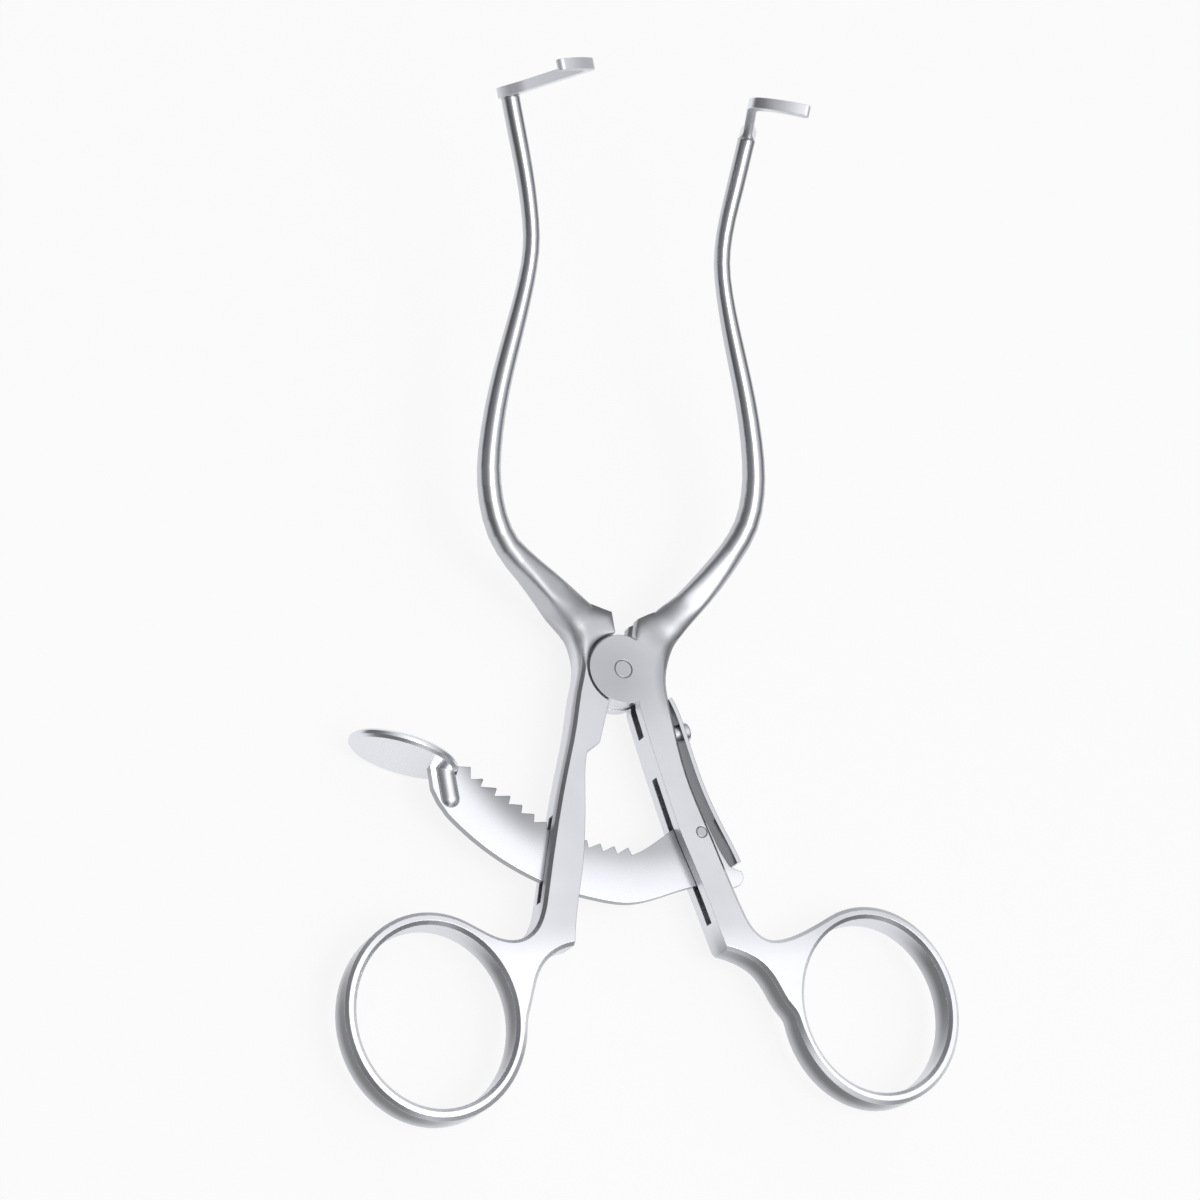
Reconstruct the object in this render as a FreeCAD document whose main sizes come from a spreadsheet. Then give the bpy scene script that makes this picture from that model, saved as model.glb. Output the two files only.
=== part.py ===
import FreeCAD, Part
import math
import os
from FreeCAD import Vector, Placement, Rotation

# Self retaining retractor with a box joint, finger rings and a sprung ratchet bar.
# Frame: millimetres, the instrument lies on its back. Origin on the joint's rear face, on the
# pivot axis. +X to the right arm, +Y to the blades, +Z out of the front face.

os.makedirs("parts", exist_ok=True)
doc = FreeCAD.newDocument("retractor")

DIMENSIONS = [
    ("thickness", 5.0, "shanks, rings and joint, front face to rear face"),
    ("disc_radius", 5.1, "outer cheeks of the joint"),
    ("cheek", 1.6, "thickness of each cheek"),
    ("side_gap", 0.05, "between a cheek and the tongue"),
    ("tongue_radius", 4.9, "tongue of the left arm"),
    ("tongue_room", 5.2, "room for the tongue between the cheeks"),
    ("shoulder_radius", 5.45, "hollow in the left arm around the cheeks"),
    ("fork_depth", 1.9, "how far the fork's slot runs in from the inner wall"),
    ("pin_radius", 1.35, "pivot pin"),
    ("running_gap", 0.05, "radial play of a pin in a turning hole"),
    ("pin_chamfer", 0.16, "ring groove around a riveted pin end"),
    ("ring_x", 32.45, "centre of a finger ring"),
    ("ring_y", -48.8, "centre of a finger ring"),
    ("ring_inner_a", 11.1, "half width of the finger hole"),
    ("ring_inner_b", 12.4, "half height of the finger hole"),
    ("ring_outer_a", 12.75, "half width outside"),
    ("ring_outer_b", 14.1, "half height outside"),
    ("ring_join_top", 25.0, "angle from the ring's top where the neck's upper edge runs in"),
    ("ring_join_side", 97.0, "angle from the ring's top where the neck's lower edge runs in"),
    ("ring_edge", 0.5, "chamfer along the shanks and rings"),
    ("rise_start", 9.0, "distance from the pivot where the arms leave the flat"),
    ("rise_slope", 0.435, "rise of the arms for each millimetre outward"),
    ("rise_bend", 1.4, "how softly the arms leave the flat"),
    ("bar_thickness", 1.3, "ratchet bar"),
    ("slot_width", 1.6, "slots in the shanks for the ratchet bar"),
    ("tooth_radius", 25.6, "tooth tips, about the main pivot"),
    ("tooth_depth", 1.0, "depth of the ratchet teeth"),
    ("tooth_pitch", 4.6, "degrees between teeth"),
    ("tooth_count", 12, "number of tooth tips"),
    ("tooth_last", 266.3, "angle of the innermost tooth tip"),
    ("tooth_land", 0.45, "degrees of flat on a tip"),
    ("tooth_face", 1.0, "degrees that the steep face of a tooth leans back"),
    ("flare_angle", 226.0, "the tips farther out than this stand off the arc"),
    ("flare", 0.14, "millimetres that they stand off for each degree"),
    ("bar_back_radius", 33.4, "smooth back of the bar"),
    ("ratchet_x", 8.9, "ratchet pin"),
    ("ratchet_y", -23.8, "ratchet pin"),
    ("ratchet_pin_radius", 0.85, "ratchet pin"),
    ("pawl_angle", 248.1, "edge of the left slot that catches the teeth"),
    ("pawl_gap", 0.12, "between that edge and the tooth tips at rest"),
    ("pawl_height", 1.3, "how far the catching nose stands off the slot's roof"),
    ("pawl_flat", 0.7, "degrees of flat on the nose"),
    ("pawl_foot", 3.2, "degrees from the catching edge to where the nose's slope ends"),
    ("slot_end_radius", 37.0, "far end of the left slot, about the main pivot"),
    ("plate_length", 15.5, "thumb plate along the bar"),
    ("plate_width", 12.0, "thumb plate across the bar"),
    ("plate_thickness", 1.3, "thumb plate"),
    ("plate_chamfer", 0.4, "rim of the thumb plate"),
    ("plate_angle", 161.0, "direction of the thumb plate"),
    ("boss_radius", 1.5, "boss under the thumb plate that holds the bar's end"),
    ("boss_place", 5.9, "boss from the plate's middle toward the bar"),
    ("spring_width", 3.4, "leaf spring"),
    ("spring_thickness", 0.6, "leaf spring"),
    ("seat_radius", 1.3, "round pad on the shank under the screwed end of the spring"),
    ("seat_depth", 3.0, "how far the pad reaches into the shank"),
    ("screw_head_radius", 1.45, "spring screw"),
    ("screw_head_height", 1.0, "spring screw"),
    ("screw_head_round", 0.3, "rounding of the screw's head"),
    ("screw_radius", 0.8, "spring screw"),
    ("screw_length", 4.0, "spring screw, from the middle of the spring inward"),
    ("screw_hole_depth", 4.2, "hole for the spring screw, from the same place"),
    ("driver_slot_width", 0.4, "driver slot in the screw's head"),
    ("driver_slot_depth", 0.45, "driver slot in the screw's head"),
    ("driver_slot_turn", 20.0, "angle at which the driver slot came to stand"),
    ("blade_width", 1.5, "blade, along the arm"),
    ("blade_thickness", 1.35, "leg and lip of a blade"),
    ("blade_foot", 2.3, "broad end of a blade on the arm"),
    ("blade_foot_drop", 1.2, "how far the foot reaches below the arm's axis"),
    ("blade_flare", 4.0, "height over which the foot narrows"),
    ("blade_leg", 16.2, "blade from the arm's end to the bend"),
    ("blade_bend", 1.65, "radius of the bend, at mid thickness"),
    ("blade_lip", 6.4, "blade from the bend to its end"),
]

sheet = doc.addObject("Spreadsheet::Sheet", "Dimensions")
for row, (alias, value, note) in enumerate(DIMENSIONS, 1):
    sheet.set(f"A{row}", alias)
    sheet.set(f"B{row}", str(value))
    sheet.set(f"C{row}", note)
    sheet.setAlias(f"B{row}", alias)
doc.recompute()


def dim(alias):
    return float(getattr(sheet, alias))


THICK = dim("thickness")
MIDDLE = THICK / 2
TINY = 1e-6


def polar(radius, degrees, z=0.0):
    angle = math.radians(degrees)
    return Vector(radius * math.cos(angle), radius * math.sin(angle), z)


def curve(points, start=None, end=None):
    """A smooth open curve through the points, as sketch geometry, with the end directions if given."""
    ways = {0: start, len(points) - 1: end}
    ways = {i: Vector(*way, 0).normalize() for i, way in ways.items() if way}
    spline = Part.BSplineCurve()
    spline.interpolate(Points=[Vector(*p, 0) for p in points], Scale=False,
                       Tangents=[ways.get(i, Vector(1, 0, 0)) for i in range(len(points))],
                       TangentFlags=[i in ways for i in range(len(points))])
    return spline


def line(a, b):
    return Part.LineSegment(Vector(*a, 0), Vector(*b, 0))


def arc(centre, radius, start, end):
    """Arc about the centre between two directions in degrees."""
    return Part.Arc(*[centre + polar(radius, angle) for angle in (start, (start + end) / 2, end)])


def flat(point):
    return (point.x, point.y)


def mirrored(points):
    return [(-x, y) for x, y in points]


def sketch(name, geometry, z="0"):
    item = doc.addObject("Sketcher::SketchObject", name)
    item.addGeometry(geometry, False)
    item.setExpression("Placement.Base.z", z)
    return item


def extrude(name, base, height):
    item = doc.addObject("Part::Extrusion", name)
    item.Base = base
    item.DirMode = "Custom"
    item.Dir = Vector(0, 0, 1)
    item.Solid = True
    item.setExpression("LengthFwd", height)
    return item


def cylinder(name, radius, height, x="0", y="0", z="0"):
    item = doc.addObject("Part::Cylinder", name)
    item.setExpression("Radius", radius)
    item.setExpression("Height", height)
    item.setExpression("Placement.Base.x", x)
    item.setExpression("Placement.Base.y", y)
    item.setExpression("Placement.Base.z", z)
    return item


def fuse(name, *shapes):
    item = doc.addObject("Part::MultiFuse", name)
    item.Shapes = list(shapes)
    item.Refine = True
    return item


def cut(name, base, *tools):
    tool = tools[0] if len(tools) == 1 else fuse(name + "_tools", *tools)
    item = doc.addObject("Part::Cut", name)
    item.Base = base
    item.Tool = tool
    item.Refine = True
    return item


def feature(name, shape):
    item = doc.addObject("Part::Feature", name)
    item.Shape = shape
    return item


def soften(kind, name, base, size, wanted):
    """A Fillet or a Chamfer on the edges of base that the test picks."""
    doc.recompute()
    item = doc.addObject("Part::" + kind, name)
    item.Base = base
    item.Edges = [(i, size, size) for i, edge in enumerate(base.Shape.Edges, 1) if wanted(edge)]
    return item


def ring_ellipse(a, b, side):
    """Ellipse of a finger ring, long axis along Y, its angle counted from the top."""
    centre = Vector(side * dim("ring_x"), dim("ring_y"), 0)
    return Part.Ellipse(centre + Vector(0, b, 0), centre + Vector(-a, 0, 0), centre)


# Outlines of the flat halves, front view. The left one is drawn mirrored, on the +X side.
RIGHT_ROOT_INNER, RIGHT_ROOT_OUTER = (5.8, 8.6), (9.2, 4.7)
RIGHT_OUTER = [RIGHT_ROOT_OUTER, (7.6, 2.3), (6.8, 0.2), (6.4, -1.9), (6.6, -5.5), (7.2, -11.1),
               (8.1, -16.3), (9.1, -19.9), (10.3, -23.7), (11.5, -27.6), (12.6, -31.2), (13.8, -34.8),
               (15.1, -37.6), (16.9, -39.1), (19.3, -39.2), (22.3, -38.3)]
RIGHT_UNDER = [(18.5, -48.2), (17.3, -45.7), (15.5, -43.0), (13.2, -41.5), (10.6, -40.6)]
RIGHT_INNER = [(10.6, -40.6), (9.6, -37.1), (8.5, -32.9), (7.2, -28.6), (5.7, -23.8), (4.5, -18.7),
               (3.6, -14.6), (2.6, -9.7), (1.8, -5.5)]
RIGHT_TOP = [(1.8, -5.5), (2.4, 0.0), (2.6, 5.5), (3.1, 7.5), (4.7, 8.2), RIGHT_ROOT_INNER]

LEFT_ROOT_INNER, LEFT_ROOT_OUTER = (3.77, 9.63), (7.23, 6.17)
LEFT_OUTER = [LEFT_ROOT_OUTER, (6.25, 3.9), (6.0, 1.8), (6.3, -0.4), (7.0, -2.6), (8.3, -7.6),
              (10.8, -15.6), (13.3, -24.2), (15.3, -32.0), (16.2, -35.1), (17.6, -37.4), (19.7, -38.6),
              (22.4, -38.4)]
LEFT_UNDER = [(18.7, -46.9), (17.7, -44.0), (16.4, -41.9), (14.6, -40.5), (11.9, -39.6)]
LEFT_INNER_LOW = [(11.9, -39.6), (11.4, -36.4), (10.4, -32.2), (9.4, -28.2), (8.6, -23.6), (8.0, -19.0),
                  (7.6, -15.2), (6.9, -12.1)]
LEFT_TOP = [(6.9, -12.1), (4.9, -10.9), (3.0, -5.5), (0.5, 0.0), (0.6, 5.5), (0.75, 8.5), (1.9, 8.9),
            LEFT_ROOT_INNER]


def chain(points):
    return [line(a, b) for a, b in zip(points, points[1:])]


def blank(name, outer, under, inner, top, side):
    """Flat half of an arm: shank, neck and finger ring, at full thickness."""
    flip = mirrored if side < 0 else list
    root_way = (top[-1][1] - outer[0][1], outer[0][0] - top[-1][0])
    root_way = (-side * root_way[0], -root_way[1])
    a, b = dim("ring_outer_a"), dim("ring_outer_b")
    joins = []
    for angle in (dim("ring_join_top"), dim("ring_join_side")):
        u = math.radians(angle)
        point = (dim("ring_x") - a * math.sin(u), dim("ring_y") + b * math.cos(u))
        joins.append((point, (side * a * math.cos(u), b * math.sin(u))))
    (high, high_way), (low, low_way) = joins
    span = [math.radians(dim("ring_join_side")), math.radians(dim("ring_join_top") + 360)]
    if side < 0:
        span = [2 * math.pi - span[1], 2 * math.pi - span[0]]
    geometry = [curve(flip(outer + [high]), start=root_way, end=high_way),
                Part.ArcOfEllipse(ring_ellipse(a, b, side), *span),
                curve(flip([low] + under), start=low_way),
                curve(flip(inner))]
    geometry += chain(flip(top + outer[:1]))
    geometry.append(ring_ellipse(dim("ring_inner_a"), dim("ring_inner_b"), side))
    plate = extrude(name + "_flat", sketch(name + "_outline", geometry), "Dimensions.thickness")

    def soft(edge):
        box = edge.BoundBox
        face_edge = box.ZLength < TINY and (box.ZMax < TINY or box.ZMin > THICK - TINY)
        return face_edge and box.XLength > dim("ring_inner_a")

    return soften("Chamfer", name + "_soft", plate, dim("ring_edge"), soft)


# The arms rise out of the flat and run out into round rods. The first sections lie in the flat half:
# x, y, height of the centre, width, depth, squareness.
RIGHT_ROOT = [
    (6.2, 5.5, 2.5, 4.9, 4.2, 10),
    (7.5, 6.65, 2.75, 5.1, 5.2, 10),
    (9.2, 8.15, 3.65, 4.8, 5.1, 8),
    (11.0, 9.7, 5.0, 4.2, 4.8, 5),
    (14.1, 12.9, 6.95, 4.0, 4.3, 3),
]
LEFT_ROOT = [
    (4.2, 6.6, 2.5, 4.7, 4.2, 10),
    (5.5, 7.9, 2.75, 4.85, 5.2, 10),
    (7.5, 9.4, 3.65, 4.6, 5.1, 8),
    (9.8, 11.05, 5.05, 4.3, 4.8, 5),
    (13.4, 13.6, 6.95, 3.8, 4.2, 3),
]
# The rest of the way: x, y, diameter.
ROD = [(17.0, 16.4, 3.65), (19.15, 20.0, 3.5), (20.1, 24.2, 3.4), (20.1, 28.6, 3.25), (19.35, 34.0, 3.05),
       (18.2, 39.2, 2.9), (16.9, 44.0, 2.75), (15.7, 48.6, 2.5), (14.8, 53.0, 2.35), (14.6, 56.8, 2.35),
       (15.15, 60.8, 2.4), (16.1, 65.0, 2.5)]
RIGHT_END = [(17.0, 69.0, 2.5), (17.5, 71.2, 2.5)]
LEFT_END = [(17.4, 69.6, 2.6), (18.7, 74.2, 2.6)]
ROUND = 2
SECTION_POINTS = 24
SECTIONS_PER_STEP = 2
BLADE_AXIS = Vector(0.220, 0.929, 0.300).normalize()


def height_at(x, y):
    """Centre height of the arm: flat at the joint, then a steady rise."""
    out = math.hypot(x, y) - dim("rise_start")
    return MIDDLE + dim("rise_slope") * (math.hypot(out, dim("rise_bend")) + out) / 2


def section(centre, ahead, width, depth, squareness):
    """Closed wire across the way ahead: a circle at squareness 2, a rounded oblong above it."""
    across = ahead.cross(Vector(0, 0, 1)).normalize()
    up = across.cross(ahead)
    points = []
    for i in range(SECTION_POINTS):
        turn = 2 * math.pi * i / SECTION_POINTS
        reach = abs(math.cos(turn)) ** squareness + abs(math.sin(turn)) ** squareness
        reach **= -1 / squareness
        points.append(centre + across * (reach * math.cos(turn) * width / 2)
                      + up * (reach * math.sin(turn) * depth / 2))
    loop = Part.BSplineCurve()
    loop.interpolate(Points=points, PeriodicFlag=True,
                     Parameters=[i / SECTION_POINTS for i in range(SECTION_POINTS + 1)])
    return Part.Wire(loop.toShape())


def between(a, b, share):
    return a + (b - a) * share


def rod_shape(root, end):
    """Loft along a smooth path through the stations, level in the flat half, square to the blade."""
    sizes = [station[3:] for station in root] + [(across, across, ROUND) for *_, across in ROD + end]
    centres = [Vector(*station[:3]) for station in root]
    centres += [Vector(x, y, height_at(x, y)) for x, y, _ in ROD + end]
    last = len(centres) - 1
    path = Part.BSplineCurve()
    path.interpolate(Points=centres, Parameters=list(range(len(centres))))
    level = centres[1] - centres[0]
    level = Vector(level.x, level.y, 0).normalize()
    wires = []
    for i in range(last * SECTIONS_PER_STEP + 1):
        at = i / SECTIONS_PER_STEP
        step = min(int(at), last - 1)
        ahead = Vector(*path.tangent(at)[0])
        ahead = between(level, ahead, min(1, max(0, at - 1)))
        ahead = between(ahead, BLADE_AXIS, max(0, at - last + 1)).normalize()
        size = [between(a, b, at - step) for a, b in zip(sizes[step], sizes[step + 1])]
        wires.append(section(path.value(at), ahead, *size))
    return Part.makeLoft(wires, True, True)


def mirror(name, source):
    item = doc.addObject("Part::Mirroring", name)
    item.Source = source
    item.Normal = Vector(1, 0, 0)
    return item


right_rod = feature("right_rod", rod_shape(RIGHT_ROOT, RIGHT_END))
left_rod = mirror("left_rod", feature("left_rod_drawn", rod_shape(LEFT_ROOT, LEFT_END)))

# Right arm: fork cheeks, slot for the ratchet bar, seat for the spring.
right_blank = blank("right", RIGHT_OUTER, RIGHT_UNDER, RIGHT_INNER, RIGHT_TOP, 1)
right_disc = cylinder("right_disc", "Dimensions.disc_radius", "Dimensions.thickness")

SPRING_LINE = [(6.95, -4.0), (7.6, -5.6), (8.4, -8.7), (9.0, -11.6), (9.6, -14.4), (10.35, -17.3),
               (11.3, -20.2), (12.3, -22.8), (13.4, -25.4), (14.35, -28.0)]
SCREW_AT = Vector(8.4, -8.7, MIDDLE)
SCREW_OUT = Vector(0.976, 0.217, 0).normalize()
PAST_SPRING = 1.0


def along(axis):
    """Turns +Z onto the axis."""
    return Rotation(Vector(0, 0, 1), axis)


def screw_cylinder(name, radius, start, end):
    item = doc.addObject("Part::Cylinder", name)
    item.setExpression("Radius", radius)
    item.Height = end - start
    item.Placement = Placement(SCREW_AT + SCREW_OUT * start, along(SCREW_OUT))
    return item


half_spring = dim("spring_thickness") / 2
spring_seat = screw_cylinder("spring_seat", "Dimensions.seat_radius", -dim("seat_depth"), -half_spring)
right_solid = fuse("right_solid_body", right_blank, right_disc, right_rod, spring_seat)

fork_room = cylinder("fork_room", "Dimensions.tongue_room",
                     "Dimensions.thickness - 2 * Dimensions.cheek", z="Dimensions.cheek")
depth = dim("fork_depth")
fork_edge = [(-3.0, -10.3)] + [(x + depth, y) for x, y in [(2.6, -9.2)] + RIGHT_TOP[:3] + [(3.3, 11.5)]]
fork_edge += [(-3.0, 11.5), (-3.0, -10.3)]
fork_slot = extrude("fork_slot", sketch("fork_slot_outline", chain(fork_edge), "Dimensions.cheek"),
                    "Dimensions.thickness - 2 * Dimensions.cheek")


def bar_slot(name, corners):
    base = sketch(name + "_outline", chain(corners + corners[:1]),
                  "(Dimensions.thickness - Dimensions.slot_width) / 2")
    return extrude(name, base, "Dimensions.slot_width")


# Corners of the right slot, from the ratchet pin: room for the bar and its tail.
SLOT_ROOM = [(-7.5, 8.7), (0.1, 7.9), (7.1, -9.8), (0.9, -12.6), (-4.9, -12.6)]
right_slot = bar_slot("right_slot", [(dim("ratchet_x") + x, dim("ratchet_y") + y) for x, y in SLOT_ROOM])
pivot_hole = cylinder("pivot_hole", "Dimensions.pin_radius", "Dimensions.thickness")
ratchet_hole = cylinder("ratchet_hole", "Dimensions.ratchet_pin_radius", "Dimensions.thickness",
                        "Dimensions.ratchet_x", "Dimensions.ratchet_y")
screw_hole = screw_cylinder("screw_hole", "Dimensions.screw_radius", -dim("screw_hole_depth"), PAST_SPRING)
right_arm = cut("right_arm", right_solid, fork_room, fork_slot, right_slot, pivot_hole, ratchet_hole,
                screw_hole)

# Left arm: tongue between the cheeks, slot whose near end catches the teeth.
left_blank = blank("left", LEFT_OUTER, LEFT_UNDER, LEFT_INNER_LOW, LEFT_TOP, -1)
left_solid = fuse("left_solid_body", left_blank, left_rod)
shoulder_rear = cylinder("shoulder_rear", "Dimensions.shoulder_radius",
                         "Dimensions.cheek + Dimensions.side_gap")
shoulder_front = cylinder("shoulder_front", "Dimensions.shoulder_radius",
                          "Dimensions.cheek + Dimensions.side_gap",
                          z="Dimensions.thickness - Dimensions.cheek - Dimensions.side_gap")
tongue = cylinder("tongue", "Dimensions.tongue_radius",
                  "Dimensions.thickness - 2 * (Dimensions.cheek + Dimensions.side_gap)",
                  z="Dimensions.cheek + Dimensions.side_gap")
turning_hole = cylinder("turning_hole", "Dimensions.pin_radius + Dimensions.running_gap",
                        "Dimensions.thickness")

# The catching edge: a short nose on the near end of the slot, upright on its outer side.
pawl_radius = dim("tooth_radius") - dim("pawl_gap")
pawl = dim("pawl_angle")
slot_roof = pawl_radius - dim("pawl_height")
slot_end = dim("slot_end_radius")
# Corners of the slot in degrees from the catching edge: along the roof outward, and its two ends.
ROOF_OUTWARD = (16, 9, 4)
END_OUTWARD, END_INWARD = 9, 8
slot_corners = [polar(slot_roof, pawl - angle) for angle in ROOF_OUTWARD]
slot_corners += [
    polar(slot_roof, pawl), polar(pawl_radius, pawl), polar(pawl_radius, pawl + dim("pawl_flat")),
    polar(slot_roof, pawl + dim("pawl_foot")), polar(slot_roof, pawl + END_INWARD),
    polar(slot_end, pawl + END_INWARD), polar(slot_end, pawl - END_OUTWARD),
]
left_slot = bar_slot("left_slot", [flat(corner) for corner in slot_corners])
left_shoulders = cut("left_shoulders", left_solid, shoulder_rear, shoulder_front)
left_with_tongue = fuse("left_with_tongue", left_shoulders, tongue)
left_arm = cut("left_arm", left_with_tongue, turning_hole, left_slot)

# Ratchet bar: teeth on an arc about the main pivot, tail through the right shank.
pitch = dim("tooth_pitch")
first_tip = dim("tooth_last") - pitch * (int(dim("tooth_count")) - 1)


def tip_radius(angle):
    """The outermost tips, which the left slot never reaches, stand a little off the arc."""
    return dim("tooth_radius") + dim("flare") * max(0.0, dim("flare_angle") - angle)


# The outer end is drawn for this tooth radius and this angle of the first tip, and follows them.
DRAWN_RADIUS, DRAWN_TIP = 25.6, 215.7


def at_end(x, y):
    angle = math.degrees(math.atan2(y, x)) + first_tip - DRAWN_TIP
    return polar(math.hypot(x, y) + dim("tooth_radius") - DRAWN_RADIUS, angle)


plate_turn = dim("plate_angle") + first_tip - DRAWN_TIP
plate_out = polar(1, plate_turn)
plate_up = polar(1, plate_turn - 90)
plate_centre = at_end(-33.15, -12.55)


def on_plate(inward, up=0.0):
    """A point under the thumb plate, counted from its middle toward the bar and upward."""
    return plate_centre - plate_out * inward + plate_up * up


plate_half = dim("plate_length") / 2
lug_gap = 0.05
lug = [at_end(-23.8, -15.7), at_end(-23.6, -13.95),
       on_plate(plate_half + lug_gap, dim("plate_thickness")), on_plate(plate_half + lug_gap)]
bar_heel = [on_plate(plate_half / 2), at_end(-29.35, -16.9), at_end(-28.6, -18.8), at_end(-27.45, -20.63)]

tooth_edge = []
for k in range(int(dim("tooth_count"))):
    tip = first_tip + k * pitch
    tooth_edge.append(polar(tip_radius(tip), tip - dim("tooth_land")))
    tooth_edge.append(polar(tip_radius(tip), tip))
    tooth_edge.append(polar(tip_radius(tip) + dim("tooth_depth"), tip + dim("tooth_face")))

back_start = math.degrees(math.atan2(bar_heel[-1].y, bar_heel[-1].x)) % 360
back_rise = bar_heel[-1].Length - dim("bar_back_radius")
back_end, back_steps = 266.0, 6
back = [flat(bar_heel[-1])]
for i in range(1, back_steps + 1):
    share = i / back_steps
    back.append(flat(polar(dim("bar_back_radius") + back_rise * (1 - share) ** 2,
                           back_start + (back_end - back_start) * share)))
back += [(3.0, -32.3), (7.0, -31.2), (10.5, -30.9)]
tail = [(10.5, -30.9), (13.6, -31.3), (14.7, -30.9), (15.25, -30.0), (15.1, -29.0), (14.3, -28.8),
        (13.3, -28.2), (12.1, -25.9), (11.1, -23.0), (10.7, -21.9), (9.0, -21.3), (7.0, -21.8)]
smooth_edge = [(7.0, -21.8), (4.6, -23.4), (1.9, -25.1), (-0.2, -26.2), flat(tooth_edge[-1])]
end_outline = [flat(corner) for corner in bar_heel[::-1] + lug[::-1] + tooth_edge]
bar_geometry = chain(end_outline) + [curve(smooth_edge), curve(back)] + chain(tail)
bar_plate = extrude("bar_plate", sketch("bar_outline", bar_geometry,
                                        "(Dimensions.thickness - Dimensions.bar_thickness) / 2"),
                    "Dimensions.bar_thickness")
bar_hole = cylinder("bar_hole", "Dimensions.ratchet_pin_radius + Dimensions.running_gap",
                    "Dimensions.thickness", "Dimensions.ratchet_x", "Dimensions.ratchet_y")
ratchet_bar = cut("ratchet_bar", bar_plate, bar_hole)

# Thumb plate: an oval across the bar's end, with a round nosed boss that the bar is let into.
oval = doc.addObject("Part::Ellipse", "plate_oval")
oval.setExpression("MajorRadius", "Dimensions.plate_length / 2")
oval.setExpression("MinorRadius", "Dimensions.plate_width / 2")
lie = FreeCAD.Matrix(plate_out.x, 0, plate_up.x, 0, plate_out.y, 0, plate_up.y, 0, 0, 1, 0, 0, 0, 0, 0, 1)
oval.Placement = Placement(plate_centre + Vector(0, 0, MIDDLE), FreeCAD.Placement(lie).Rotation)
plate_flat = doc.addObject("Part::Extrusion", "plate_flat")
plate_flat.Base = oval
plate_flat.DirMode = "Custom"
plate_flat.Dir = plate_up
plate_flat.Solid = True
plate_flat.setExpression("LengthFwd", "Dimensions.plate_thickness")
plate_soft = soften("Chamfer", "plate_soft", plate_flat, dim("plate_chamfer"),
                    lambda edge: edge.BoundBox.ZLength > dim("plate_width") / 2)

boss_top = on_plate(dim("boss_place"), dim("plate_thickness") / 2) + Vector(0, 0, MIDDLE)
boss_nose = at_end(-27.0, -18.4) + Vector(0, 0, MIDDLE)
boss = doc.addObject("Part::Cylinder", "boss")
boss.setExpression("Radius", "Dimensions.boss_radius")
boss.Height = (boss_nose - boss_top).Length
boss.Placement = Placement(boss_top, Rotation(Vector(0, 0, 1), boss_nose - boss_top))
nose = doc.addObject("Part::Sphere", "boss_nose")
nose.setExpression("Radius", "Dimensions.boss_radius")
nose.Placement = Placement(boss_nose, Rotation())
thumb_solid = fuse("thumb_solid", plate_soft, boss, nose)
thumb_solid.Refine = False
thumb_plate = cut("thumb_plate", thumb_solid, bar_plate)
thumb_plate.Refine = False


# Pins, riveted flush in the right arm.
def pin(name, radius, x="0", y="0"):
    rod = cylinder(name + "_rod", radius, "Dimensions.thickness", x, y)
    return soften("Chamfer", name, rod, dim("pin_chamfer"),
                  lambda edge: edge.Closed and edge.BoundBox.ZLength < TINY)


pivot_pin = pin("pivot_pin", "Dimensions.pin_radius")
ratchet_pin = pin("ratchet_pin", "Dimensions.ratchet_pin_radius",
                  "Dimensions.ratchet_x", "Dimensions.ratchet_y")

# Leaf spring on the outside of the right shank.
spring_curve = Part.BSplineCurve()
spring_curve.interpolate([Vector(x, y, 0) for x, y in SPRING_LINE])
steps = 24
length = spring_curve.length()
stations = [spring_curve.parameterAtDistance(length * i / steps) for i in range(steps + 1)]
centre_points = [spring_curve.value(u) for u in stations]
normals = []
for u in stations:
    tangent = spring_curve.tangent(u)[0]
    normals.append(Vector(-tangent.y, tangent.x, 0))
sides = []
for sign in (1, -1):
    side_curve = Part.BSplineCurve()
    side_curve.interpolate([p + n * (sign * half_spring) for p, n in zip(centre_points, normals)])
    sides.append(side_curve)
spring_geometry = [sides[0], sides[1],
                   Part.LineSegment(sides[0].StartPoint, sides[1].StartPoint),
                   Part.LineSegment(sides[0].EndPoint, sides[1].EndPoint)]
spring_strip = extrude("spring_strip", sketch("spring_outline", spring_geometry,
                                              "(Dimensions.thickness - Dimensions.spring_width) / 2"),
                       "Dimensions.spring_width")
spring_hole = screw_cylinder("spring_hole", "Dimensions.screw_radius", -PAST_SPRING, PAST_SPRING)
leaf_spring = cut("leaf_spring", spring_strip, spring_hole)

# Screw of the spring: low cheese head with a driver slot.
HEAD_GAP = 0.02
SHANK_INTO_HEAD = 0.2
screw_shank = screw_cylinder("screw_shank", "Dimensions.screw_radius", -dim("screw_length"),
                             half_spring + SHANK_INTO_HEAD)
head_top = half_spring + dim("screw_head_height")
screw_head = screw_cylinder("screw_head", "Dimensions.screw_head_radius", half_spring + HEAD_GAP, head_top)
head_middle = (half_spring + HEAD_GAP + head_top) / 2
screw_soft = soften("Fillet", "screw_soft", screw_head, dim("screw_head_round"),
                    lambda edge: edge.Closed and (edge.BoundBox.Center - SCREW_AT).Length > head_middle)
DRIVER_LENGTH = 4.0
PAST_HEAD = 0.05
driver = doc.addObject("Part::Box", "driver_slot")
driver.setExpression("Length", "Dimensions.driver_slot_width")
driver.Width = DRIVER_LENGTH
driver.Height = dim("driver_slot_depth") + PAST_HEAD
driver_turn = along(SCREW_OUT).multiply(Rotation(Vector(0, 0, 1), dim("driver_slot_turn")))
driver_corner = SCREW_AT + SCREW_OUT * (head_top - dim("driver_slot_depth"))
driver_corner -= driver_turn.multVec(Vector(dim("driver_slot_width") / 2, DRIVER_LENGTH / 2, 0))
driver.Placement = Placement(driver_corner, driver_turn)
spring_screw = cut("spring_screw", fuse("screw_solid", screw_shank, screw_soft), driver)


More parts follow.
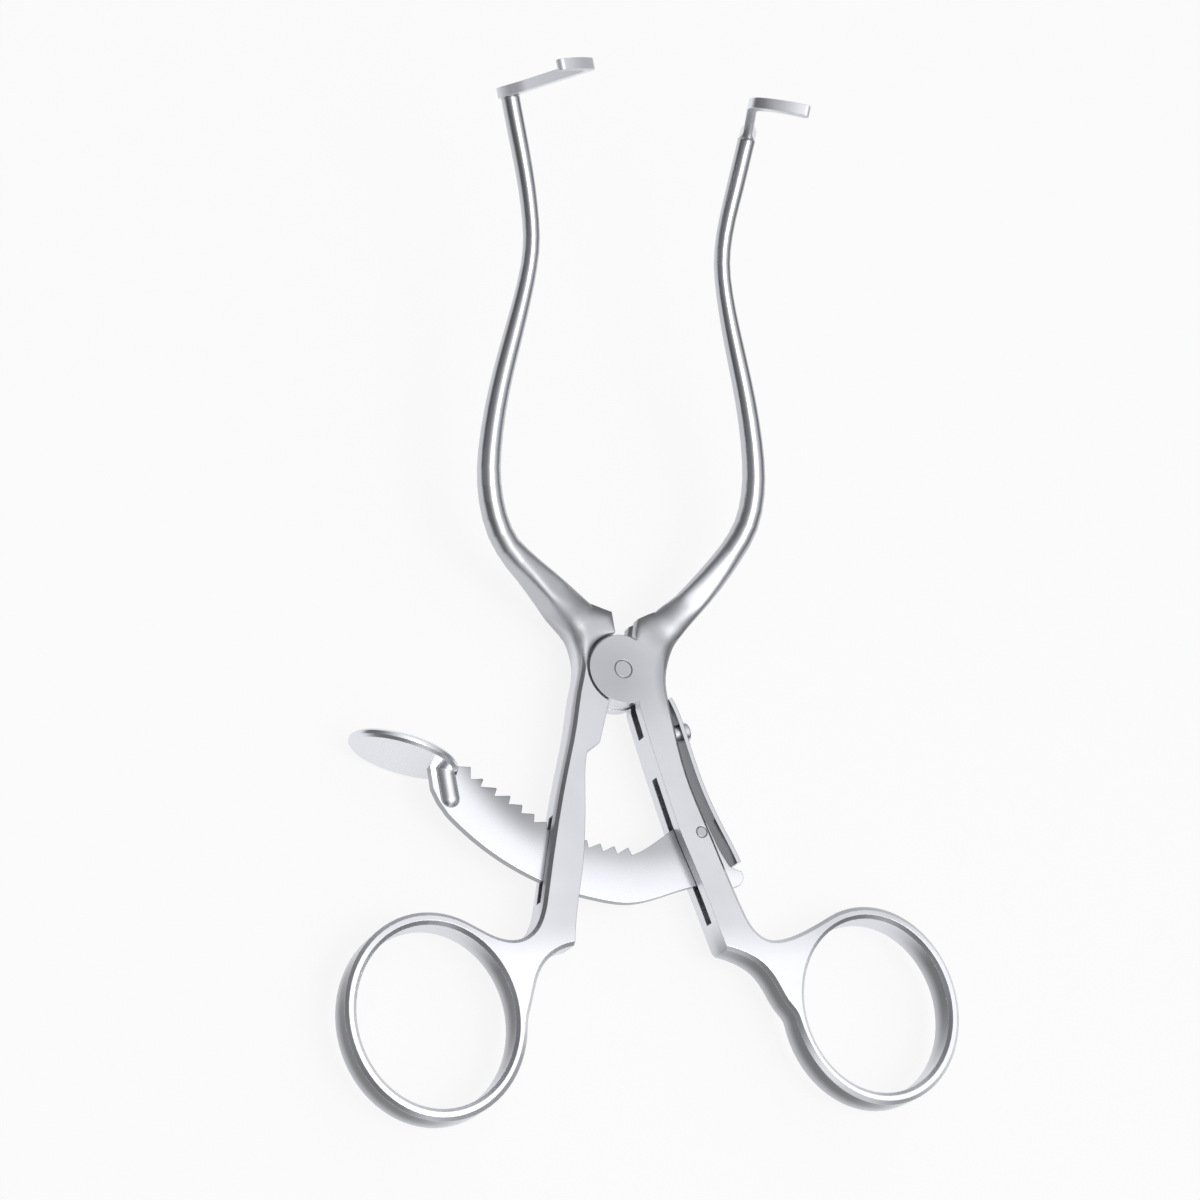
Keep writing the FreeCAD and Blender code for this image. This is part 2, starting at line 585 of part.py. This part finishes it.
# Blades: a strip across the end of each rod, with a broad foot, a leg and a curved outward lip.
LEG_TURN, LIP_TURN, LIP_END_TURN = 108.6, 44.0, 14.0

# How a blade's foot narrows: share of the flare's height, share of the foot's half width.
FOOT_PROFILE = [(0.15, 0.94), (0.6, 0.7)]


def blade_outline():
    """Outline in the plane of the bend, X outward and Y up, the arm's axis at the origin."""
    half, foot, drop = dim("blade_thickness") / 2, dim("blade_foot") / 2, dim("blade_foot_drop")
    leg, side = polar(1, LEG_TURN), polar(1, LEG_TURN + 90)
    bend = dim("blade_bend")
    straight = dim("blade_leg") - bend * math.tan(math.radians(LEG_TURN - LIP_TURN) / 2)
    lip = dim("blade_lip") / math.radians(LIP_TURN - LIP_END_TURN)
    bend_centre = leg * straight - side * bend
    lip_centre = bend_centre + polar(bend - lip, LIP_TURN + 90)
    lip_end = lip_centre + polar(lip, LIP_END_TURN + 90)
    shape = [arc(lip_end, half, LIP_END_TURN - 90, LIP_END_TURN + 90)]
    for sign in (1, -1):
        profile = FOOT_PROFILE + [(1.0, half / foot)]
        flare = [leg * -drop + side * (sign * foot)]
        flare += [leg * (rise * dim("blade_flare")) + side * (sign * foot * share)
                  for rise, share in profile]
        shape.append(curve([flat(point) for point in flare], end=flat(leg)))
        shape.append(Part.LineSegment(flare[-1], leg * straight + side * (sign * half)))
        shape.append(arc(bend_centre, bend + sign * half, LEG_TURN + 90, LIP_TURN + 90))
        shape.append(arc(lip_centre, lip + sign * half, LIP_TURN + 90, LIP_END_TURN + 90))
    shape.append(Part.LineSegment(leg * -drop + side * foot, leg * -drop - side * foot))
    return shape


def blade(name, end):
    x, y = end[-1][:2]
    up = (Vector(0, 0, 1) - BLADE_AXIS * BLADE_AXIS.z).normalize()
    out = BLADE_AXIS.cross(up).normalize()
    lie = FreeCAD.Matrix(out.x, up.x, -BLADE_AXIS.x, 0, out.y, up.y, -BLADE_AXIS.y, 0,
                         out.z, up.z, -BLADE_AXIS.z, 0, 0, 0, 0, 1)
    outline = doc.addObject("Sketcher::SketchObject", name + "_outline")
    outline.addGeometry(blade_outline(), False)
    outline.Placement = Placement(Vector(x, y, height_at(x, y)), FreeCAD.Placement(lie).Rotation)
    strip = extrude(name, outline, "Dimensions.blade_width")
    strip.Dir = BLADE_AXIS
    return strip


right_blade = blade("right_blade", RIGHT_END)
left_blade = mirror("left_blade", blade("left_blade_drawn", LEFT_END))

NODES = [right_arm, left_arm, right_blade, left_blade, pivot_pin, ratchet_bar, thumb_plate, ratchet_pin,
         leaf_spring, spring_screw]

doc.recompute()
for item in doc.Objects:
    if "Invalid" in item.State or "Error" in item.State:
        raise RuntimeError(f"{item.Name} did not build: {item.State}")
for node in NODES:
    shape = node.Shape
    if shape.isNull() or not shape.isValid():
        raise RuntimeError(f"{node.Name} has no valid shape")
    if len(shape.Solids) != 1:
        raise RuntimeError(f"{node.Name} has {len(shape.Solids)} solids")
    shape.exportStep(f"parts/{node.Name}.step")
    box = shape.BoundBox
    print(f"{node.Name}: volume {shape.Volume:.1f} mm3, x {box.XMin:.1f}..{box.XMax:.1f}, "
          f"y {box.YMin:.1f}..{box.YMax:.1f}, z {box.ZMin:.1f}..{box.ZMax:.1f}")
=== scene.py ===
import math

import bpy
from mathutils import Matrix, Vector


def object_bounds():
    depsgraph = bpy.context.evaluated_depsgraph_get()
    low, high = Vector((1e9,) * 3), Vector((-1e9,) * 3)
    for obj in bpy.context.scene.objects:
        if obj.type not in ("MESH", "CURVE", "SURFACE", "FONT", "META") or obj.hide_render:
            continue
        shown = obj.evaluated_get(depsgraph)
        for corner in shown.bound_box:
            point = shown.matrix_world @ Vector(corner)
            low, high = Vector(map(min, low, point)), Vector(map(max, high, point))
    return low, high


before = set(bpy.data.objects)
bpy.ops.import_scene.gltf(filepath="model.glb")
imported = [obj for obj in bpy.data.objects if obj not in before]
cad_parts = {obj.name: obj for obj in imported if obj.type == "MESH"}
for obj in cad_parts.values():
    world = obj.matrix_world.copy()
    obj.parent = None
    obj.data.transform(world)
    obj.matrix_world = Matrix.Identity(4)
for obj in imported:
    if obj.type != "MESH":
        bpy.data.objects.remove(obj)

# A self retaining retractor in satin and polished stainless steel, on a white table.
# Metres, in the frame of the part: origin on the pivot axis, +Y to the blades, +Z up. The finishes
# take their place on the metal in millimetres.

MM = 0.001
cad_low, cad_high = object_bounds()
scene = bpy.context.scene


class Wire:
    """A value on its way through a shader: arithmetic on it adds Math nodes."""

    def __init__(self, graph, socket):
        self.graph = graph
        self.socket = socket

    def apply(self, operation, *values):
        return self.graph.node("ShaderNodeMath", {"operation": operation}, dict(enumerate(values)))

    def __add__(self, other):
        return self.apply("ADD", self, other)

    __radd__ = __add__

    def __sub__(self, other):
        return self.apply("SUBTRACT", self, other)

    def __rsub__(self, other):
        return self.apply("SUBTRACT", other, self)

    def __mul__(self, other):
        return self.apply("MULTIPLY", self, other)

    __rmul__ = __mul__

    def __truediv__(self, other):
        return self.apply("DIVIDE", self, other)

    def __rtruediv__(self, other):
        return self.apply("DIVIDE", other, self)

    def root(self):
        return self.apply("SQRT", self)

    def size(self):
        """The value without its sign."""
        return self.apply("ABSOLUTE", self)

    def at_least(self, other):
        return self.apply("MAXIMUM", self, other)

    def at_most(self, other):
        return self.apply("MINIMUM", self, other)

    def angle_from(self, up):
        """Angle in radians of a direction from its upward part toward this one."""
        return self.apply("ARCTAN2", self, up)

    def swing(self, spread):
        """Turns noise from 0 to 1 into a swing about 0."""
        return (self - 0.5) * spread

    def rise(self, low, high):
        """0 where the value is at low, 1 where it is at high, smooth between them."""
        settings = {"interpolation_type": "SMOOTHSTEP"}
        inputs = {"Value": self, "From Min": low, "From Max": high}
        return self.graph.node("ShaderNodeMapRange", settings, inputs)

    def fall(self, low, high):
        """1 where the value is at low, 0 where it is at high, smooth between them."""
        return 1 - self.rise(low, high)


class Graph:
    """The node tree of a material or of the world."""

    def __init__(self, owner):
        owner.use_nodes = True
        self.tree = owner.node_tree
        self.tree.nodes.clear()

    def node(self, kind, settings=None, inputs=None, output=0):
        """Adds a node: its settings first, then the values or links of its sockets."""
        made = self.tree.nodes.new(kind)
        for key, value in (settings or {}).items():
            if key == "stops":
                set_stops(made.color_ramp, value)
            else:
                setattr(made, key, value)
        for key, value in (inputs or {}).items():
            if isinstance(value, Wire):
                self.tree.links.new(value.socket, made.inputs[key])
            else:
                made.inputs[key].default_value = value
        return Wire(self, made.outputs[output]) if made.outputs else None

    def axes(self, vector):
        """The three components of a vector."""
        return [self.node("ShaderNodeSeparateXYZ", None, {"Vector": vector}, axis) for axis in "XYZ"]

    def mix(self, factor, a, b):
        """Colour a where the factor is 0, colour b where it is 1: sockets 6, 7 and 2 are the colours."""
        return self.node("ShaderNodeMix", {"data_type": "RGBA"}, {0: factor, 6: a, 7: b}, 2)

    def noise(self, at, scale, detail, roughness=0.5):
        inputs = {"Vector": at, "Scale": scale, "Detail": detail, "Roughness": roughness}
        return self.node("ShaderNodeTexNoise", None, inputs)


def set_stops(ramp, stops):
    while len(ramp.elements) > 1:
        ramp.elements.remove(ramp.elements[-1])
    ramp.elements[0].position, ramp.elements[0].color = stops[0]
    for position, colour in stops[1:]:
        ramp.elements.new(position).color = colour


def grey(level, blue=0.0):
    """A grey whose red falls short of its blue by the given share."""
    green_of_blue = 0.85
    return (level * (1 - blue), level * (1 - blue * green_of_blue), level, 1)


WHITE = grey(1.0)
# Painted light: this pale steel is mixed into the colour wherever parts should look brighter lit.
PAINTED_LIGHT_GREY = grey(0.93, 0.045)
STEEL = grey(0.665, 0.05)
DULL_STEEL = grey(0.628, 0.048)
# Painted shade: this dark grey is mixed into the colour wherever parts should look shaded.
PAINTED_SHADE_GREY = grey(0.13, 0.04)

# Pattern of the steel: clouds and grain per metre, the noise at which a cloud is dull and at which it is
# plain, and how far both change the roughness and the height.
CLOUDS_PER_METRE = 140.0
GRAIN_PER_METRE = 5200.0
DULL_TO_PLAIN = (0.3, 0.7)
CLOUD_ROUGHNESS = 0.3
GRAIN_ROUGHNESS = 0.04
GRAIN_HEIGHT = 0.01 * MM

# Radii of rounded edges in millimetres: on most edges, on the rods, and where a rod leaves the flat.
EDGE = 0.12
ROD_EDGE = 0.5
ROOT_EDGE = 3.6


def steel(name, roughness, grain, tone=None, edge=EDGE):
    """Bare stainless steel: a fine grain, soft clouds left by hand polishing and rounded edges, with the
    painted light and shade of its tone in the colour.
    """
    material = bpy.data.materials.new(name)
    graph = Graph(material)
    position = graph.node("ShaderNodeTexCoord", output="Object")
    place = [axis / MM for axis in graph.axes(position)]
    clouds = graph.noise(position, CLOUDS_PER_METRE, detail=3.0)
    fine = graph.noise(position, GRAIN_PER_METRE, detail=2.0, roughness=0.6)
    rough = roughness(place) if callable(roughness) else roughness
    rough = rough * (1 + clouds.swing(CLOUD_ROUGHNESS)) + fine.swing(GRAIN_ROUGHNESS)
    colour = graph.mix(clouds.rise(*DULL_TO_PLAIN), DULL_STEEL, STEEL)
    if tone:
        facing = graph.axes(graph.node("ShaderNodeTexCoord", output="Normal"))
        colour = tone(graph, place, facing, colour)
    radius = (edge(place) if callable(edge) else edge) * MM
    rounded = graph.node("ShaderNodeBevel", {"samples": 8}, {"Radius": radius})
    bumped = graph.node("ShaderNodeBump", None, {
        "Strength": 1.0, "Distance": GRAIN_HEIGHT, "Height": fine * grain, "Normal": rounded})
    shader = graph.node("ShaderNodeBsdfPrincipled", None, {
        "Base Color": colour, "Metallic": 1.0, "Roughness": rough, "Normal": bumped})
    graph.node("ShaderNodeOutputMaterial", None, {"Surface": shader})
    return material


# Patches of painted shade on flat faces: the middle and the reach in millimetres, and the share of
# painted shade grey there.
JOINT_PATCH = (-2.0, -1.0, 13.0, 0.33)
RIGHT_ROOT_PATCH = (6.8, 6.4, 6.0, 0.38)
LEFT_INNER_ROOT_PATCH = (-3.3, 6.8, 6.0, 0.22)
LEFT_OUTER_ROOT_PATCH = (-6.3, 6.3, 4.5, 0.34)
FIRST_TOOTH_PATCH = (-21.0, -15.4, 2.6, 0.7)
TAIL_PATCH = (14.5, -26.5, 4.0, 0.4)


def patch(place, x, y, reach, share):
    across = place[0] - x
    along = place[1] - y
    return (across * across + along * along).root().fall(0, reach) * share


# The arms along Y in millimetres: spans over which one stretch passes into the next.
RING_TO_SHANK = (-43, -36)
SHANK_START = (-36, -31)
SHANK_TO_JOINT = (-9, -3)
FLAT_TO_ROOT = (2, 8)
LEFT_SHANK_END = (4, 9)
JOINT_END = (8, 13)
ROOT_START = (2, 7)
ROOT_END = (9, 15)
ROD_START = (14, 28)

FLAT_ROUGHNESS = 0.34
ROD_ROUGHNESS = 0.17
ROOT_ROUGHER = 0.08


def arm_roughness(place):
    """Satin on the flat halves, bright on the rods."""
    y = place[1]
    rod = y.rise(*ROD_START)
    root = y.rise(*ROOT_START) * y.fall(*ROOT_END)
    return FLAT_ROUGHNESS - rod * (FLAT_ROUGHNESS - ROD_ROUGHNESS) + root * ROOT_ROUGHER


# The fold where a rod leaves the flat: the way across it on the +X side, and its distance from the pivot.
FOLD_WAY = (0.73, 0.68)
FOLD_DISTANCE = 9.75
# Millimetres from the fold over which the root's rounding ends and the rod's begins.
ROOT_REACH = (1.5, 6.0)
ROD_REACH = (2.0, 5.0)


def arm_edge(place):
    """Narrow roundings, broad ones where the rods grow out of the flat and middling ones on the rods."""
    x, y, _ = place
    past_fold = x.size() * FOLD_WAY[0] + y * FOLD_WAY[1] - FOLD_DISTANCE
    root = past_fold.size().fall(*ROOT_REACH)
    rod = past_fold.rise(*ROD_REACH)
    return (root * ROOT_EDGE).at_least(rod * ROD_EDGE) + EDGE


# How far a face looks up or down, from one that counts as upright to one that counts as level.
UPRIGHT_TO_LEVEL = (0.2, 0.7)


def on_wall(facing):
    """1 on faces that stand upright, 0 on level ones."""
    return facing[2].size().fall(*UPRIGHT_TO_LEVEL)


# Shares of painted light on the arms' walls and the rings' faces, and of painted shade on the rings'
# walls at the rear and the front.
PAINTED_LIGHT_SHARE = 0.8
RING_DARK_REAR, RING_DARK_FRONT = 0.32, 0.92
RING_REAR_TO_FRONT = (0.3, 3.2)
RINGS_DARK_SIDE = (-0.87, -0.5)
ACROSS_TO_DARK_SIDE = (0.1, 0.9)


def arm_painted_light_and_shade(graph, place, facing, colour):
    """Painted light on the walls all round and on the finger rings' faces, and painted shade on the
    rings' walls toward one side.
    """
    _, y, z = place
    ring = y.fall(*RING_TO_SHANK)
    wall = on_wall(facing)
    flat_half = y.fall(*FLAT_TO_ROOT)
    colour = graph.mix(wall * flat_half * PAINTED_LIGHT_SHARE, colour, PAINTED_LIGHT_GREY)
    colour = graph.mix(ring * (1 - wall) * PAINTED_LIGHT_SHARE, colour, PAINTED_LIGHT_GREY)
    toward_dark = facing[0] * RINGS_DARK_SIDE[0] + facing[1] * RINGS_DARK_SIDE[1]
    dark_side = toward_dark.rise(*ACROSS_TO_DARK_SIDE)
    depth = z.rise(*RING_REAR_TO_FRONT) * (RING_DARK_FRONT - RING_DARK_REAR) + RING_DARK_REAR
    return graph.mix(ring * wall * dark_side * depth, colour, PAINTED_SHADE_GREY)


# Outer edge of the right arm beside the joint: its waist, its bend above that and its slant below it,
# and the band along it that is darker with painted shade standing in for a broad rounding.
WAIST_X, WAIST_Y = 6.4, -1.9
BEND_ABOVE_WAIST = 0.062
SLANT_BELOW_WAIST = 0.09
OUTER_EDGE_BAND = (-3.2, 0.2)
OUTER_EDGE_GREY = 0.55


def right_arm_tone(graph, place, facing, colour):
    """Painted shade: greyer about the joint and the root, and darker toward the outer edge beside it."""
    x, y, _ = place
    colour = arm_painted_light_and_shade(graph, place, facing, colour)
    above = (y - WAIST_Y).at_least(0)
    below = (WAIST_Y - y).at_least(0)
    outer_edge = above * above * BEND_ABOVE_WAIST + below * SLANT_BELOW_WAIST + WAIST_X
    beside_joint = y.rise(*SHANK_TO_JOINT) * y.fall(*JOINT_END)
    rounding = (x - outer_edge).rise(*OUTER_EDGE_BAND) * beside_joint * OUTER_EDGE_GREY
    shade = rounding.at_least(patch(place, *JOINT_PATCH)).at_least(patch(place, *RIGHT_ROOT_PATCH))
    return graph.mix(shade * (1 - on_wall(facing)), colour, PAINTED_SHADE_GREY)


# Height over which the left shank's walls pass into painted shade along their front edge, and how dark
# that is.
WALL_TO_FRONT_EDGE = (2.6, 4.0)
FRONT_EDGE_GREY = 0.62


def left_arm_tone(graph, place, facing, colour):
    """Painted shade: greyer beside the fork, and dark along the front edge of the shank's walls."""
    _, y, z = place
    colour = arm_painted_light_and_shade(graph, place, facing, colour)
    wall = on_wall(facing)
    root = patch(place, *LEFT_INNER_ROOT_PATCH).at_least(patch(place, *LEFT_OUTER_ROOT_PATCH))
    colour = graph.mix(root * (1 - wall), colour, PAINTED_SHADE_GREY)
    shank = y.rise(*SHANK_START) * y.fall(*LEFT_SHANK_END)
    front_edge = z.rise(*WALL_TO_FRONT_EDGE)
    return graph.mix(wall * shank * front_edge * FRONT_EDGE_GREY, colour, PAINTED_SHADE_GREY)


# Shares of painted shade or painted light on the bar, and the distances from the pivot over which they
# fade.
TEETH_GREY, TEETH_BAND = 0.4, (25, 30)
OUTER_TEETH_GREY, OUTER_TEETH_BAND = 0.5, (26.5, 31)
BACK_PALENESS, BACK_BAND = 0.8, (26, 33)
BAR_WALL_GREY = 0.6
OUTER_STRETCH_END = (-18, -9)


def bar_tone(graph, place, facing, colour):
    """Painted shade grey along the teeth, painted light toward the back, painted shade dark on the first
    tooth, the tail and the walls.
    """
    x, y, _ = place
    radius = (x * x + y * y).root()
    outer_teeth = radius.fall(*OUTER_TEETH_BAND) * x.fall(*OUTER_STRETCH_END)
    colour = graph.mix(radius.fall(*TEETH_BAND) * TEETH_GREY, colour, PAINTED_SHADE_GREY)
    colour = graph.mix(radius.rise(*BACK_BAND) * BACK_PALENESS, colour, PAINTED_LIGHT_GREY)
    colour = graph.mix(outer_teeth * OUTER_TEETH_GREY, colour, PAINTED_SHADE_GREY)
    for spot in (FIRST_TOOTH_PATCH, TAIL_PATCH):
        colour = graph.mix(patch(place, *spot), colour, PAINTED_SHADE_GREY)
    return graph.mix(on_wall(facing) * BAR_WALL_GREY, colour, PAINTED_SHADE_GREY)


# Shares of painted shade on the spring and the pins, and of painted light on the plate and the blades.
SPRING_INNER_GREY = 0.75
SPRING_INNER_SIDE = (0.2, 0.7)
PIN_GREY = 0.3
PALENESS = 0.95


def spring_tone(graph, place, facing, colour):
    """Painted shade on the side that lies against the shank."""
    toward_shank = facing[0] * -1
    inner_side = toward_shank.rise(*SPRING_INNER_SIDE)
    return graph.mix(inner_side * SPRING_INNER_GREY, colour, PAINTED_SHADE_GREY)


# Painted shade: the pins darker all over, like the painted shade about the joint.
def pin_tone(graph, place, facing, colour):
    return graph.mix(PIN_GREY, colour, PAINTED_SHADE_GREY)


# Painted light: the thumb plate and the blades paler all over, to look brighter lit.
def pale_tone(graph, place, facing, colour):
    return graph.mix(PALENESS, colour, PAINTED_LIGHT_GREY)


STRIP_ROUGHNESS = 0.28
LIP_ROUGHNESS = 0.58
LIP_START = (46.5, 48.0)


def blade_roughness(place):
    """Satin lips on brighter strips."""
    return STRIP_ROUGHNESS + place[2].rise(*LIP_START) * (LIP_ROUGHNESS - STRIP_ROUGHNESS)


right_arm_steel = steel("right_arm_steel", arm_roughness, grain=0.5, tone=right_arm_tone, edge=arm_edge)
left_arm_steel = steel("left_arm_steel", arm_roughness, grain=0.5, tone=left_arm_tone, edge=arm_edge)
bar_steel = steel("bar_steel", roughness=0.27, grain=0.4, tone=bar_tone)
plate_steel = steel("plate_steel", roughness=0.27, grain=0.4, tone=pale_tone)
blade_steel = steel("blade_steel", blade_roughness, grain=0.3, tone=pale_tone)
pin_steel = steel("pin_steel", roughness=0.27, grain=0.5, tone=pin_tone)
spring_steel = steel("spring_steel", roughness=0.18, grain=0.25, tone=spring_tone)
screw_steel = steel("screw_steel", roughness=0.16, grain=0.25)
FINISHES = {
    "right_arm": right_arm_steel,
    "left_arm": left_arm_steel,
    "ratchet_bar": bar_steel,
    "thumb_plate": plate_steel,
    "pivot_pin": pin_steel,
    "ratchet_pin": pin_steel,
    "right_blade": blade_steel,
    "left_blade": blade_steel,
    "leaf_spring": spring_steel,
    "spring_screw": screw_steel,
}
for name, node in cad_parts.items():
    node.data.materials.clear()
    node.data.materials.append(FINISHES[name])


# A white sheet, seen white by the camera and grey by the metal where it is far off to either side.
SHEET_SIZE = 3.0
SHEET_GAP = 0.1 * MM
SHEET_FAR = (60 * MM, 260 * MM)
SHEET_SIDE = (0.35, 0.8)
SHEET_PAINT = grey(0.9)
NEAR_GLOW, FAR_GLOW = grey(0.95, 0.02), grey(0.24, 0.06)
CAMERA_GLOW_SHARE, GLOSSY_GLOW_SHARE = 0.85, 0.8


def table():
    z = cad_low.z - SHEET_GAP
    mesh = bpy.data.meshes.new("table")
    half = SHEET_SIZE / 2
    corners = [(-half, -half, z), (half, -half, z), (half, half, z), (-half, half, z)]
    mesh.from_pydata(corners, [], [(0, 1, 2, 3)])
    sheet = bpy.data.objects.new("table", mesh)
    scene.collection.objects.link(sheet)
    material = bpy.data.materials.new("white_table")
    graph = Graph(material)
    position = graph.node("ShaderNodeTexCoord", output="Object")
    camera_ray = graph.node("ShaderNodeLightPath", output="Is Camera Ray")
    glossy_ray = graph.node("ShaderNodeLightPath", output="Is Glossy Ray")
    distance = graph.node("ShaderNodeVectorMath", {"operation": "LENGTH"}, {0: position}, "Value")
    side = (graph.axes(position)[0].size() / distance).rise(*SHEET_SIDE)
    reflected = graph.mix(distance.rise(*SHEET_FAR) * side, NEAR_GLOW, FAR_GLOW)
    paint = graph.node("ShaderNodeBsdfDiffuse", None, {"Color": SHEET_PAINT})
    glow = graph.node("ShaderNodeEmission", None, {
        "Color": graph.mix(glossy_ray, WHITE, reflected), "Strength": 1.0})
    share = (camera_ray * CAMERA_GLOW_SHARE + glossy_ray * GLOSSY_GLOW_SHARE).at_most(1.0)
    surface = graph.node("ShaderNodeMixShader", None, {0: share, 1: paint, 2: glow})
    graph.node("ShaderNodeOutputMaterial", None, {"Surface": surface})
    mesh.materials.append(material)


# Light from above by the angle from straight up toward +X, in degrees, as the rods mirror it.
DIFFUSER = [(-90, 0.23), (-50, 0.25), (-35, 0.33), (-22, 0.62), (-12, 0.98), (0, 1.30), (18, 1.40),
            (30, 1.15), (45, 0.85), (58, 0.58), (70, 0.30), (80, 0.30), (90, 0.45)]
BRIGHTEST = 1.5
# How much of it is lost toward the rings and toward the blades, and from where, in degrees.
LOST_TO_RINGS, RINGS_FROM = 0.45, (-55, -22)
LOST_TO_BLADES, BLADES_FROM = 0.40, (2, 50)
LIGHT_RED, LIGHT_GREEN = 0.97, 0.98
LEAST_UP = 0.001


def room():
    """One broad diffuser overhead that fades to a grey room at both sides."""
    world = bpy.data.worlds.new("room")
    scene.world = world
    graph = Graph(world)
    x, y, z = graph.axes(graph.node("ShaderNodeTexCoord", output="Generated"))
    above = z.at_least(LEAST_UP)
    across = x.angle_from(above) / math.pi + 0.5
    along = y.angle_from(above) / math.pi * 180
    stops = [((angle + 90) / 180, grey(level / BRIGHTEST)) for angle, level in DIFFUSER]
    strip = graph.node("ShaderNodeValToRGB", {"stops": stops}, {0: across})
    level = graph.node("ShaderNodeSeparateColor", None, {0: strip}) * BRIGHTEST
    level = level * (1 - along.fall(*RINGS_FROM) * LOST_TO_RINGS)
    level = level * (1 - along.rise(*BLADES_FROM) * LOST_TO_BLADES)
    light = graph.node("ShaderNodeCombineColor", None, {
        "Red": level * LIGHT_RED, "Green": level * LIGHT_GREEN, "Blue": level})
    camera_ray = graph.node("ShaderNodeLightPath", output="Is Camera Ray")
    seen = graph.mix(camera_ray, light, WHITE)
    background = graph.node("ShaderNodeBackground", None, {"Color": seen, "Strength": 1.0})
    graph.node("ShaderNodeOutputWorld", None, {"Surface": background})


def softbox(name, at, size, power):
    lamp = bpy.data.lights.new(name, "AREA")
    lamp.shape = "RECTANGLE"
    lamp.size, lamp.size_y = size
    lamp.energy = power
    holder = bpy.data.objects.new(name, lamp)
    holder.location = at
    holder.rotation_euler = (-Vector(at)).to_track_quat("-Z", "Y").to_euler()
    scene.collection.objects.link(holder)


table()
room()
softbox("key_light", at=(0.12, -0.22, 0.75), size=(0.35, 0.35), power=1.5)

# Camera: where the photograph was taken from, with its focal length in the 1200 pixel frame.
CAMERA_AT = Vector((-180.88, -144.17, 411.95)) * MM
CAMERA_RIGHT = Vector((0.9249, -0.1105, 0.3638))
CAMERA_BACK = Vector((-0.3795, -0.3282, 0.8650))
FOCAL_PIXELS = 3338.05
PHOTO_PIXELS = 1200
SENSOR = 36.0

lens = bpy.data.cameras.new("camera")
lens.sensor_width = SENSOR
lens.lens = FOCAL_PIXELS / PHOTO_PIXELS * SENSOR
lens.clip_start, lens.clip_end = 0.02, 10.0
camera = bpy.data.objects.new("camera", lens)
up = CAMERA_BACK.cross(CAMERA_RIGHT).normalized()
right = up.cross(CAMERA_BACK).normalized()
turn = Matrix((right, up, CAMERA_BACK.normalized())).transposed()
camera.matrix_world = Matrix.Translation(CAMERA_AT) @ turn.to_4x4()
scene.collection.objects.link(camera)
scene.camera = camera
scene.view_settings.view_transform = "Standard"
